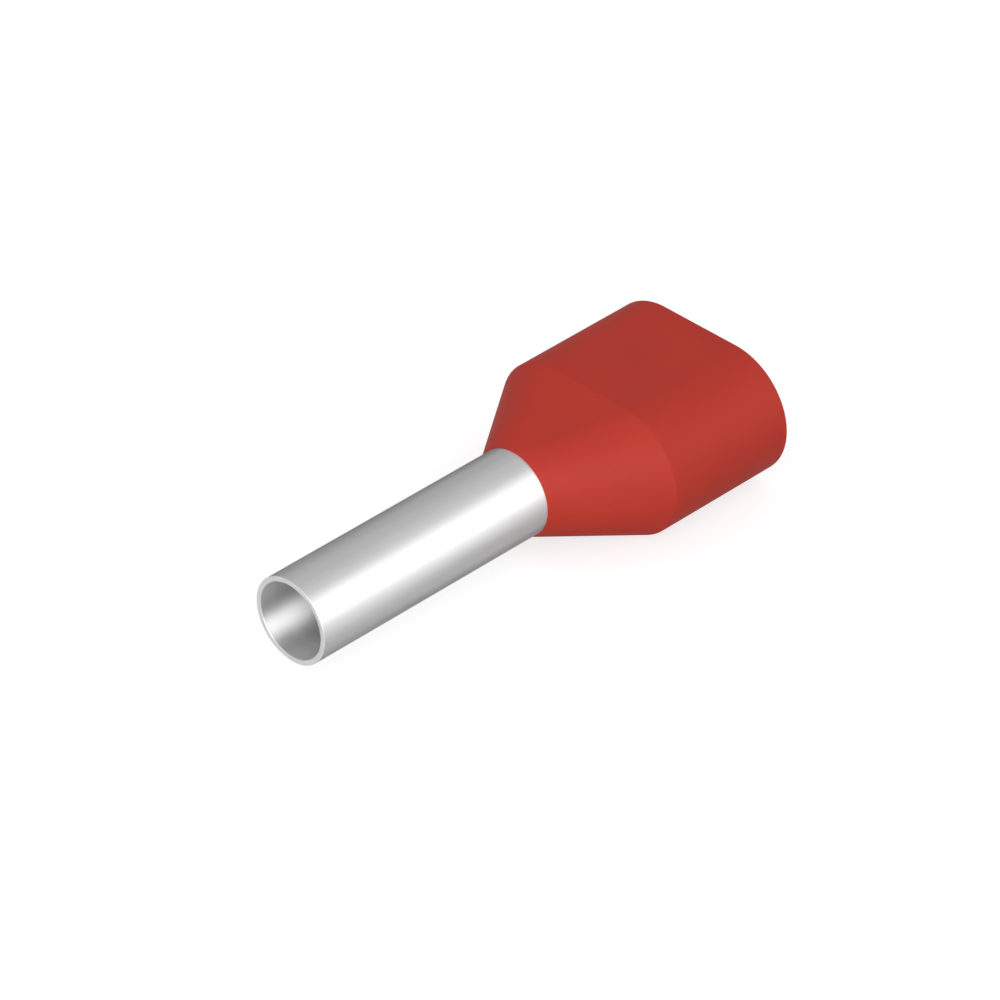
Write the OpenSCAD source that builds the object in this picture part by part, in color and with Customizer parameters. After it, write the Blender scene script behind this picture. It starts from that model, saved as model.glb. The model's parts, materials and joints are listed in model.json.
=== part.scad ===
// Insulated ferrule for two stranded conductors: a thin tinned copper sleeve gripped by a moulded plastic collar.
// Lengths run along X, from the centre of the sleeve's free end at the origin to the collar's mouth. The bore's
// axis is the X axis, and +Z is up, across the collar's flat sides.

/* [Contact sleeve] */
// Diameter of the sleeve's bore
bore_d = 2.2; // [1.6:0.05:2.4]
// Thickness of the sleeve's wall
sleeve_wall = 0.15; // [0.1:0.01:0.2]
// Length of straight sleeve that stands out of the collar
sleeve_out = 8; // [6:0.5:18]
// Bevel on both edges of the sleeve's free end
tip_bevel = 0.02; // [0.01:0.005:0.04]
// Length of the flare at the sleeve's inner end
flare_len = 2.2; // [1.6:0.1:2.4]
// How far the flare widens the sleeve's radius
flare_rise = 0.25; // [0.1:0.05:0.3]

/* [Insulating collar] */
// Length of the shoulder that grows from the sleeve's circle to the skirt's outline
shoulder_len = 2.8; // [2.4:0.1:4]
// Length of the straight skirt
skirt_len = 4.2; // [3:0.1:8]
// Width of the skirt, over its half-round ends
skirt_w = 6.4; // [5:0.1:8]
// Height of the skirt, over its flat sides
skirt_h = 3.8; // [3.6:0.1:4.6]
// Thickness of the skirt's wall
skirt_wall = 0.3; // [0.2:0.05:0.5]
// Radius of the rounded edges round the mouth
mouth_round = 0.05; // [0.02:0.01:0.09]
// Distance from the end of the shoulder to the wide end of the funnel inside it
funnel_end = 0.6; // [0.4:0.1:1.5]
// Width of the step round the funnel's wide end, which stops the wires' insulation
funnel_step = 0.05; // [0.02:0.01:0.2]
// Thickness of the collar's front edge round the sleeve
lip = 0.02; // [0.01:0.01:0.1]
// Clearance between the sleeve and its seat in the collar
seat_gap = 0.01; // [0:0.01:0.03]

/* [Hidden] */
$fn = 96;
bore_r = bore_d / 2;
sleeve_r = bore_r + sleeve_wall;
skirt_r = skirt_h / 2;
cavity_r = skirt_r - skirt_wall;
// The skirt's half-round ends are centred this far to each side of the bore's axis
spread = (skirt_w - skirt_h) / 2;
seat_len = flare_len + seat_gap;
funnel_len = shoulder_len + funnel_end - seat_len;
// How far a cutting solid reaches past the face it cuts
over = 1;
// Thickness of the plates that end a hull
plate = 0.01;

// Turns what was drawn along Z so that it lies along X, with Y left where it was
module along_x() {
    rotate([0, 90, 0]) children();
}

// Solid that grows from a circle to an obround (a rectangle with half-round ends) of the same height as its ends.
// Each half-round side is a cone that leans outwards, and a wedge with flat faces fills the space between them.
module loft_to_obround(r_start, r_end, half_spread, len) {
    for (side = [-1, 1])
        multmatrix([[1, 0, 0, 0], [0, 1, side * half_spread / len, 0], [0, 0, 1, 0]])
            cylinder(r1 = r_start, r2 = r_end, h = len);
    intersection() {
        rotate([90, 0, 0]) linear_extrude(2 * half_spread, center = true)
            polygon([[-r_start, 0], [r_start, 0], [r_end, len], [-r_end, len]]);
        rotate([90, 0, 90]) linear_extrude(2 * r_end, center = true)
            polygon([[0, 0], [half_spread, len], [-half_spread, len]]);
    }
}

// Sweeps a section, drawn to the right of the Y axis, round an obround path
module sweep_round_obround(half_spread) {
    for (side = [0, 1]) {
        mirror([0, side, 0]) translate([0, half_spread, 0]) rotate_extrude(angle = 180) children();
        mirror([side, 0, 0]) rotate([90, 0, 0]) linear_extrude(2 * half_spread, center = true) children();
    }
}

// Section of the filled skirt, with a rounded outer edge at the mouth
module skirt_section() {
    square([skirt_r - mouth_round, skirt_len]);
    square([skirt_r, skirt_len - mouth_round]);
    translate([skirt_r - mouth_round, skirt_len - mouth_round]) circle(mouth_round);
}

// Section of the open space inside the skirt, which widens over a rounded inner edge at the mouth
module cavity_section(len) {
    square([cavity_r, len + over]);
    difference() {
        translate([cavity_r, len - mouth_round]) square([mouth_round, mouth_round + over]);
        translate([cavity_r + mouth_round, len - mouth_round]) circle(mouth_round);
    }
}

// Thin tube with a bevelled free end and a flare that holds it in the collar
module contact_sleeve() {
    end = sleeve_out + flare_len;
    color([0.8, 0.81, 0.82]) along_x() rotate_extrude() polygon([
        [bore_r + tip_bevel, 0], [sleeve_r - tip_bevel, 0], [sleeve_r, tip_bevel],
        [sleeve_r, sleeve_out], [sleeve_r + flare_rise, end],
        [bore_r + flare_rise, end], [bore_r, sleeve_out], [bore_r, tip_bevel]]);
}

// Room for the flared end of the sleeve, measured from the collar's front edge
module sleeve_seat() {
    r = sleeve_r + seat_gap;
    rotate_extrude() polygon([[0, -over], [r, -over], [r, 0], [r + flare_rise, seat_len], [0, seat_len]]);
}

// Open space that narrows from the skirt to the sleeve's flare and leads the bared wires into the bore
module funnel() {
    hull() {
        translate([0, 0, -plate]) cylinder(r = bore_r + flare_rise, h = plate, $fn = 48);
        for (side = [-1, 1])
            translate([0, side * spread, funnel_len]) cylinder(r = cavity_r - funnel_step, h = plate, $fn = 48);
    }
}

// Moulded collar: a shoulder that grows out of the sleeve, and a flat skirt with an open mouth for two wires
module insulating_collar() {
    color([0.72, 0.25, 0.21]) translate([sleeve_out, 0, 0]) along_x() difference() {
        union() {
            loft_to_obround(sleeve_r + seat_gap + lip, skirt_r, spread, shoulder_len);
            translate([0, 0, shoulder_len]) sweep_round_obround(spread) skirt_section();
        }
        sleeve_seat();
        translate([0, 0, seat_len]) {
            funnel();
            translate([0, 0, funnel_len]) sweep_round_obround(spread)
                cavity_section(skirt_len - funnel_end);
        }
    }
}

contact_sleeve();
insulating_collar();
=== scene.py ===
import json
import math

import bmesh
import bpy
import numpy as np
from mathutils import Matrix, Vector


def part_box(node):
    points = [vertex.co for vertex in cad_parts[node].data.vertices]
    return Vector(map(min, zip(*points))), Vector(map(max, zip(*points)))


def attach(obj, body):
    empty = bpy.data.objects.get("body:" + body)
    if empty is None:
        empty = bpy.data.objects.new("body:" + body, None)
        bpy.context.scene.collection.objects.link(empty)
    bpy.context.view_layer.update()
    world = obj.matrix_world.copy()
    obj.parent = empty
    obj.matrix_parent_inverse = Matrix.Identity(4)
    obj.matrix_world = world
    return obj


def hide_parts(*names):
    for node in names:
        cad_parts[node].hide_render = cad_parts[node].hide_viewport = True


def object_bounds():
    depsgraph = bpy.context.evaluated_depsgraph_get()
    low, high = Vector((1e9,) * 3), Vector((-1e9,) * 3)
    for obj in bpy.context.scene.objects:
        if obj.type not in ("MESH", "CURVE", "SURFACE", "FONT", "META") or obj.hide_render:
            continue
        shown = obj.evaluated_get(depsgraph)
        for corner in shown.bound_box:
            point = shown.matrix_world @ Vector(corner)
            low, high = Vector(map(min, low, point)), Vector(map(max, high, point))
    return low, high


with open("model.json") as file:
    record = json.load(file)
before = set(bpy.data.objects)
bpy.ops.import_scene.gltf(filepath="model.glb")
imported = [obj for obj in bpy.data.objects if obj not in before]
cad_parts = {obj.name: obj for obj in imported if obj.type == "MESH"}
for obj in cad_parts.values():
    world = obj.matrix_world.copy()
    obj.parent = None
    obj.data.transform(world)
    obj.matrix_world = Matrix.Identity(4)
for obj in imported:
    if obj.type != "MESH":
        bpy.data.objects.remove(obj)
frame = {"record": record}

cad_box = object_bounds()

# --------------------------------------------------------------------------------------------------------
# Contact sleeve. The metal part of the ferrule, which is crimped round the bared strands. A thin seamless
# copper tube, tinned all over, is drawn to size, cut square with its edges eased, and flared at its inner
# end so that the collar moulded over it can't slide off.
# --------------------------------------------------------------------------------------------------------
MM = 0.001
mounts = {mount["name"]: mount for mount in frame["record"]["mounts"]}
bore_r = mounts["conductor_bore"]["dims"]["r_mm"]
sleeve_r = mounts["sleeve_outside"]["dims"]["r_mm"]
sleeve_low, sleeve_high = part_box("contact_sleeve")
collar_low, collar_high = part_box("insulating_collar")
tip_x = sleeve_low.x / MM
flare_x = collar_low.x / MM
sleeve_end_x = sleeve_high.x / MM
flared_r = sleeve_high.z / MM
flare_rise = flared_r - sleeve_r
cut_edge = 0.02
flare_knee = 0.06
longest_run = 0.5
columns_round = 192
same_point = 0.00001


def ease_corners(corners, reach, steps=5):
    """Closed profile with its corners eased. Each corner C becomes the quadratic curve
    (1 - t)^2 A + 2 t (1 - t) C + t^2 B, where A and B lie on the runs before and after it, at that corner's
    reach. One more point at twice the reach on either side keeps the straight runs true."""
    corners = np.asarray(corners, float)
    reach = np.asarray(reach, float)[:, None]
    to_last = np.roll(corners, 1, axis=0) - corners
    to_next = np.roll(corners, -1, axis=0) - corners
    to_last *= reach / np.linalg.norm(to_last, axis=1, keepdims=True)
    to_next *= reach / np.linalg.norm(to_next, axis=1, keepdims=True)
    t = np.linspace(0, 1, steps + 1)[None, :, None]
    first, middle, last = (corners + to_last)[:, None], corners[:, None], (corners + to_next)[:, None]
    curve = (1 - t) ** 2 * first + 2 * t * (1 - t) * middle + t ** 2 * last
    guarded = [(corners + 2 * to_last)[:, None], curve, (corners + 2 * to_next)[:, None]]
    return np.concatenate(guarded, axis=1).reshape(-1, corners.shape[1])


def split_long_runs(profile, longest):
    """Closed profile with each run cut into equal parts no longer than `longest`: point i becomes
    P_i + (k / n_i)(P_i+1 - P_i) for k from 0 to n_i - 1."""
    step = np.roll(profile, -1, axis=0) - profile
    parts = np.ceil(np.linalg.norm(step, axis=1) / longest).astype(int).clip(1)
    index = np.repeat(np.arange(len(profile)), parts)
    share = (np.arange(parts.sum()) - np.repeat(np.cumsum(parts) - parts, parts)) / parts[index]
    return profile[index] + share[:, None] * step[index]


def carry_round(profile, angle, side):
    """Surface of a profile of rows (x, r, s) carried round the X axis. At angle a on the half-round that
    leans to `side`, the point is (x, side * s + r cos a, r sin a), so s = 0 gives a plain turned form."""
    x, r, s = profile.T[:, :, None]
    return np.stack(np.broadcast_arrays(x, side * s + r * np.cos(angle), r * np.sin(angle)), axis=-1)


def closed_piece(name, surface):
    """Object whose mesh is a surface grid closed both ways. Face (i, j) joins rows i and i + 1 at columns j
    and j + 1, counted round both ends. The UV map runs once along the profile and once round the axis.
    Points that fall on one another are made one, which takes out the faces of no area where a flat side
    shrinks to nothing."""
    rows, columns = surface.shape[:2]
    i, j = (part.ravel() for part in np.meshgrid(np.arange(rows), np.arange(columns), indexing="ij"))
    i_next, j_next = (i + 1) % rows, (j + 1) % columns
    row, row_next = i * columns, i_next * columns
    faces = np.stack([row + j, row + j_next, row_next + j_next, row_next + j], 1)
    mesh = bpy.data.meshes.new(name)
    mesh.from_pydata((surface.reshape(-1, 3) * MM).tolist(), [], faces.tolist())
    along = np.stack([i, i, i + 1, i + 1], 1) / rows
    around = np.stack([j, j + 1, j + 1, j], 1) / columns
    uv_map = mesh.uv_layers.new(name="along_and_round")
    uv_map.data.foreach_set("uv", np.stack([along, around], -1).ravel())
    mesh.polygons.foreach_set("use_smooth", np.ones(len(faces), bool))
    joined = bmesh.new()
    joined.from_mesh(mesh)
    bmesh.ops.remove_doubles(joined, verts=joined.verts, dist=same_point * MM)
    joined.to_mesh(mesh)
    joined.free()
    piece = bpy.data.objects.new(name, mesh)
    bpy.context.scene.collection.objects.link(piece)
    return piece


sleeve_profile = ease_corners(
    [
        (tip_x, bore_r, 0),
        (tip_x, sleeve_r, 0),
        (flare_x, sleeve_r, 0),
        (sleeve_end_x, flared_r, 0),
        (sleeve_end_x, bore_r + flare_rise, 0),
        (flare_x, bore_r, 0),
    ],
    [cut_edge, cut_edge, flare_knee, cut_edge, cut_edge, flare_knee],
)
turn = np.linspace(0, 2 * math.pi, columns_round, endpoint=False)
sleeve_surface = carry_round(split_long_runs(sleeve_profile, longest_run), turn, 0)
sleeve = closed_piece("tinned_sleeve", sleeve_surface)

# Fine unevenness shared by plating and plastic: a tight grain that gives relief, and slow clouds of tone.
fine_surface = bpy.data.node_groups.new("fine_surface", "ShaderNodeTree")
fine_surface.interface.new_socket("Vector", in_out="INPUT", socket_type="NodeSocketVector")
fine_surface.interface.new_socket("Grain per mm", in_out="INPUT", socket_type="NodeSocketFloat")
fine_surface.interface.new_socket("Clouds per mm", in_out="INPUT", socket_type="NodeSocketFloat")
fine_surface.interface.new_socket("Relief", in_out="OUTPUT", socket_type="NodeSocketFloat")
fine_surface.interface.new_socket("Clouds", in_out="OUTPUT", socket_type="NodeSocketFloat")
group_in = fine_surface.nodes.new("NodeGroupInput")
group_out = fine_surface.nodes.new("NodeGroupOutput")
grain = fine_surface.nodes.new("ShaderNodeTexNoise")
grain.inputs["Detail"].default_value = 3
grain.inputs["Roughness"].default_value = 0.6
clouds = fine_surface.nodes.new("ShaderNodeTexNoise")
clouds.inputs["Detail"].default_value = 2
fine_surface.links.new(group_in.outputs["Vector"], grain.inputs["Vector"])
fine_surface.links.new(group_in.outputs["Vector"], clouds.inputs["Vector"])
fine_surface.links.new(group_in.outputs["Grain per mm"], grain.inputs["Scale"])
fine_surface.links.new(group_in.outputs["Clouds per mm"], clouds.inputs["Scale"])
fine_surface.links.new(grain.outputs["Fac"], group_out.inputs["Relief"])
fine_surface.links.new(clouds.outputs["Fac"], group_out.inputs["Clouds"])


def surface_material(name, grain_per_mm, clouds_per_mm, stretch, relief_mm, shades, roughness):
    """Material whose colour drifts between two shades, and its roughness between two values, with slow
    clouds, over the relief of a tight grain. Object coordinates in mm are stretched before the noise."""
    cloud_low, cloud_high = 0.3, 0.7
    material = bpy.data.materials.new(name)
    material.use_nodes = True
    nodes, links = material.node_tree.nodes, material.node_tree.links
    shader = nodes["Principled BSDF"]
    place = nodes.new("ShaderNodeTexCoord")
    scale = nodes.new("ShaderNodeMapping")
    scale.inputs["Scale"].default_value = np.array(stretch) / MM
    surface = nodes.new("ShaderNodeGroup")
    surface.node_tree = fine_surface
    surface.inputs["Grain per mm"].default_value = grain_per_mm
    surface.inputs["Clouds per mm"].default_value = clouds_per_mm
    tone = nodes.new("ShaderNodeMapRange")
    tone.inputs["From Min"].default_value, tone.inputs["From Max"].default_value = cloud_low, cloud_high
    colour = nodes.new("ShaderNodeMix")
    colour.data_type = "RGBA"
    colour.inputs["A"].default_value, colour.inputs["B"].default_value = (*shades[0], 1), (*shades[1], 1)
    gloss = nodes.new("ShaderNodeMapRange")
    gloss.inputs["From Min"].default_value, gloss.inputs["From Max"].default_value = cloud_low, cloud_high
    gloss.inputs["To Min"].default_value, gloss.inputs["To Max"].default_value = roughness
    bump = nodes.new("ShaderNodeBump")
    bump.inputs["Strength"].default_value = 1
    bump.inputs["Distance"].default_value = relief_mm * MM
    links.new(place.outputs["Object"], scale.inputs["Vector"])
    links.new(scale.outputs["Vector"], surface.inputs["Vector"])
    links.new(surface.outputs["Clouds"], tone.inputs["Value"])
    links.new(tone.outputs["Result"], colour.inputs["Factor"])
    links.new(colour.outputs["Result"], shader.inputs["Base Color"])
    links.new(surface.outputs["Clouds"], gloss.inputs["Value"])
    links.new(gloss.outputs["Result"], shader.inputs["Roughness"])
    links.new(surface.outputs["Relief"], bump.inputs["Height"])
    links.new(bump.outputs["Normal"], shader.inputs["Normal"])
    return material, shader


# The outside is satin, with hair-fine draw lines along the tube.
tin, tin_shader = surface_material(
    "tin_plating",
    grain_per_mm=9,
    clouds_per_mm=2.5,
    stretch=(0.05, 1, 1),
    relief_mm=0.0012,
    shades=[(0.685, 0.685, 0.69), (0.735, 0.735, 0.74)],
    roughness=(0.43, 0.49),
)
tin_shader.inputs["Metallic"].default_value = 1
tin_shader.inputs["Specular Tint"].default_value = (0.05, 0.05, 0.05, 1)

# The bore is duller. Fine tool marks run round it, so its sheen is drawn out into a band along the axis.
bore_tin, bore_shader = surface_material(
    "bore_plating",
    grain_per_mm=9,
    clouds_per_mm=2.5,
    stretch=(1, 0.3, 0.3),
    relief_mm=0.0006,
    shades=[(0.69, 0.69, 0.695), (0.75, 0.75, 0.755)],
    roughness=(0.62, 0.68),
)
bore_shader.inputs["Metallic"].default_value = 1
bore_shader.inputs["Anisotropic"].default_value = 0.9
along_bore = bore_tin.node_tree.nodes.new("ShaderNodeTangent")
along_bore.direction_type = "UV_MAP"
along_bore.uv_map = "along_and_round"
bore_tin.node_tree.links.new(along_bore.outputs["Tangent"], bore_shader.inputs["Tangent"])

# The cut end is left matte by the cutter, and its shades are lighter: a painted highlight on the cut face.
cut_tin_painted_highlight, cut_highlight_shader = surface_material(
    "cut_end_plating",
    grain_per_mm=16,
    clouds_per_mm=4,
    stretch=(1, 1, 1),
    relief_mm=0.0008,
    # Lighter than the outside's shades: painted highlight on the cut face.
    shades=[(0.84, 0.84, 0.84), (0.90, 0.90, 0.90)],
    roughness=(0.42, 0.50),
)
cut_highlight_shader.inputs["Metallic"].default_value = 0.85

# The faces of the free end, the bore and the outside each take their own plating, by its place in the list.
outside, inside, cut_end = range(3)
for plating in (tin, bore_tin, cut_tin_painted_highlight):
    sleeve.data.materials.append(plating)
face_centres = np.empty(len(sleeve.data.polygons) * 3)
sleeve.data.polygons.foreach_get("center", face_centres)
face_x, face_y, face_z = face_centres.reshape(-1, 3).T / MM
flare_so_far = ((face_x - flare_x) / (sleeve_end_x - flare_x)).clip(0, 1) * flare_rise
in_bore = np.hypot(face_y, face_z) < (bore_r + sleeve_r) / 2 + flare_so_far
plating_index = np.where(face_x < tip_x + cut_edge / 2, cut_end, np.where(in_bore, inside, outside))
sleeve.data.polygons.foreach_set("material_index", plating_index)
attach(sleeve, "root")
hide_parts("contact_sleeve")

# --------------------------------------------------------------------------------------------------------
# Insulating collar. Moulded polypropylene, coloured through, gripping the flared end of the sleeve. The
# shoulder grows from the sleeve's circle into a flat skirt, wide enough for two insulated wires side by
# side, and inside it a funnel leads their bared strands into the bore.
# --------------------------------------------------------------------------------------------------------
front_edge = 0.03
shoulder_len = 2.8
skirt_wall = 0.3
funnel_past_shoulder = 0.6
funnel_step = 0.05
moulded_grip = 0.005
lip_ease = 0.004
crease_ease = 0.03
step_ease = 0.01
mouth_ease = 0.05
collar_longest_run = 0.3
columns_per_end = 97
columns_per_flat = 24
mouth_x = collar_high.x / MM
skirt_r = collar_high.z / MM
spread = (collar_high.y - collar_high.z) / MM
front_r = sleeve_r + front_edge
shoulder_end_x = flare_x + shoulder_len
funnel_end_x = shoulder_end_x + funnel_past_shoulder
cavity_r = skirt_r - skirt_wall
seat_x = sleeve_end_x + moulded_grip
seat_r = sleeve_r - moulded_grip
collar_profile = ease_corners(
    [
        (flare_x, seat_r, 0),
        (flare_x, front_r, 0),
        (shoulder_end_x, skirt_r, spread),
        (mouth_x, skirt_r, spread),
        (mouth_x, cavity_r, spread),
        (funnel_end_x, cavity_r, spread),
        (funnel_end_x, cavity_r - funnel_step, spread),
        (seat_x, bore_r + flare_rise, 0),
        (seat_x, seat_r + flare_rise, 0),
    ],
    [
        lip_ease,
        lip_ease,
        crease_ease,
        mouth_ease,
        mouth_ease,
        step_ease,
        step_ease,
        crease_ease,
        crease_ease,
    ],
)
# Columns of the obround: a half-round end at side 1, a flat that crosses from 1 to -1, and the same again.
end = np.linspace(-math.pi / 2, math.pi / 2, columns_per_end)
end_side = np.ones(columns_per_end)
flat = np.full(columns_per_flat, math.pi / 2)
flat_side = np.linspace(1, -1, columns_per_flat + 2)[1:-1]
angle = np.concatenate([end, flat, end + math.pi, flat + math.pi])
side = np.concatenate([end_side, flat_side, -end_side, -flat_side])
collar_surface = carry_round(split_long_runs(collar_profile, collar_longest_run), angle, side)
collar = closed_piece("moulded_collar", collar_surface)

# The plastic is satin, with the fine grain of its mould.
plastic, plastic_shader = surface_material(
    "red_polypropylene",
    grain_per_mm=14,
    clouds_per_mm=0.6,
    stretch=(1, 1, 1),
    relief_mm=0.0010,
    shades=[(0.497, 0.0445, 0.030), (0.527, 0.0475, 0.032)],
    roughness=(0.46, 0.54),
)
plastic_shader.inputs["Specular IOR Level"].default_value = 0.06
collar.data.materials.append(plastic)
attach(collar, "root")
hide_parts("insulating_collar")

# --------------------------------------------------------------------------------------------------------
# Studio. A white sweep, a soft room that is a little brighter on the lamp's side, one broad lamp in front
# of the sleeve's free end, and two white cards that show only as gloss: the long sheen on the sleeve, and
# the band in its bore.
# --------------------------------------------------------------------------------------------------------
centre = (cad_box[0] + cad_box[1]) / 2
lamp_from = Vector((-0.69, -0.60, 0.42)).normalized()
sheen_from = Vector((0.577, -0.77, 0.27)).normalized()
bore_light_from = Vector((-0.56, -0.73, 0.40)).normalized()
lamp_distance = 0.5
room_level = 0.56
room_slope = 0.10
room_mirrored = 0.15
paper_level = 0.47
paper_fill = 0.71
paper_mirrored = 0.35
floor_gap = 0.01 * MM
camera_angle = 8.63
camera_distance = 0.1719

# The floor is two metres across, and a hair under the object so that their surfaces don't share a plane.
floor_mesh = bpy.data.meshes.new("floor")
floor_z = cad_box[0].z - floor_gap
floor_corners = [(-1, -1, floor_z), (1, -1, floor_z), (1, 1, floor_z), (-1, 1, floor_z)]
floor_mesh.from_pydata(floor_corners, [], [(0, 1, 2, 3)])
floor = bpy.data.objects.new("floor", floor_mesh)
bpy.context.scene.collection.objects.link(floor)


def seen_share(nodes, links, mirrored_share):
    """Share of the white that a ray sees: 1 for the camera's rays, straight or through glass, and
    `mirrored_share` for rays that a gloss sends on."""
    path = nodes.new("ShaderNodeLightPath")
    mirrored = nodes.new("ShaderNodeMath")
    mirrored.operation = "MULTIPLY"
    mirrored.inputs[1].default_value = mirrored_share
    links.new(path.outputs["Is Glossy Ray"], mirrored.inputs[0])
    shares = [path.outputs["Is Camera Ray"], path.outputs["Is Transmission Ray"], mirrored.outputs[0]]
    while len(shares) > 1:
        highest = nodes.new("ShaderNodeMath")
        highest.operation = "MAXIMUM"
        links.new(shares.pop(), highest.inputs[0])
        links.new(shares.pop(), highest.inputs[1])
        shares.append(highest.outputs[0])
    return shares[0]


# The sweep is pale paper, filled up to plain white where it is seen, and clear from below.
sweep = bpy.data.materials.new("white_sweep")
sweep.use_nodes = True
nodes, links = sweep.node_tree.nodes, sweep.node_tree.links
paper = nodes["Principled BSDF"]
paper.inputs["Base Color"].default_value = (paper_level, paper_level, paper_level, 1)
paper.inputs["Roughness"].default_value = 1
paper.inputs["Specular IOR Level"].default_value = 0
paper.inputs["Emission Color"].default_value = (1, 1, 1, 1)
fill = nodes.new("ShaderNodeMath")
fill.operation = "MULTIPLY"
fill.inputs[1].default_value = paper_fill
links.new(seen_share(nodes, links, paper_mirrored), fill.inputs[0])
links.new(fill.outputs[0], paper.inputs["Emission Strength"])
underside = nodes.new("ShaderNodeNewGeometry")
clear = nodes.new("ShaderNodeBsdfTransparent")
either_side = nodes.new("ShaderNodeMixShader")
links.new(underside.outputs["Backfacing"], either_side.inputs["Fac"])
links.new(paper.outputs["BSDF"], either_side.inputs[1])
links.new(clear.outputs["BSDF"], either_side.inputs[2])
links.new(either_side.outputs["Shader"], nodes["Material Output"].inputs["Surface"])
floor_mesh.materials.append(sweep)

# The room lights the object at room_level + room_slope * cos(angle from the lamp), and is white where seen.
room = bpy.data.worlds.new("room")
room.use_nodes = True
bpy.context.scene.world = room
nodes, links = room.node_tree.nodes, room.node_tree.links
direction = nodes.new("ShaderNodeTexCoord")
towards_lamp = nodes.new("ShaderNodeVectorMath")
towards_lamp.operation = "DOT_PRODUCT"
towards_lamp.inputs[1].default_value = lamp_from
level = nodes.new("ShaderNodeMath")
level.operation = "MULTIPLY_ADD"
level.inputs[1].default_value = room_slope
level.inputs[2].default_value = room_level
white = nodes.new("ShaderNodeMix")
white.inputs["B"].default_value = 1
links.new(direction.outputs["Generated"], towards_lamp.inputs[0])
links.new(towards_lamp.outputs["Value"], level.inputs[0])
links.new(level.outputs[0], white.inputs["A"])
links.new(seen_share(nodes, links, room_mirrored), white.inputs["Factor"])
links.new(white.outputs["Result"], nodes["Background"].inputs["Strength"])
nodes["Background"].inputs["Color"].default_value = (1, 1, 1, 1)


def hang_lamp(name, source, width, watts):
    """Round area lamp at lamp_distance from the object's middle, on the side `source`, aimed at it."""
    lamp = bpy.data.lights.new(name, "AREA")
    lamp.shape = "DISK"
    lamp.size = width
    lamp.energy = watts
    lamp_object = bpy.data.objects.new(name, lamp)
    lamp_object.location = centre + source * lamp_distance
    lamp_object.rotation_euler = (-source).to_track_quat("-Z", "Y").to_euler()
    lamp_object.visible_camera = False
    bpy.context.scene.collection.objects.link(lamp_object)
    return lamp_object


hang_lamp("front_lamp", lamp_from, width=0.46, watts=1.42)
hang_lamp("side_card", sheen_from, width=0.70, watts=1.72).visible_diffuse = False
hang_lamp("front_card", bore_light_from, width=0.46, watts=1.5).visible_diffuse = False

camera_from = Vector((-1, -1, 1)).normalized()
camera = bpy.data.cameras.new("camera")
camera.angle = math.radians(camera_angle)
camera.clip_start = 0.001
camera.clip_end = 10
camera_object = bpy.data.objects.new("camera", camera)
camera_object.location = centre + camera_from * camera_distance
camera_object.rotation_euler = (-camera_from).to_track_quat("-Z", "Y").to_euler()
bpy.context.scene.collection.objects.link(camera_object)
bpy.context.scene.camera = camera_object
bpy.context.scene.view_settings.view_transform = "Standard"
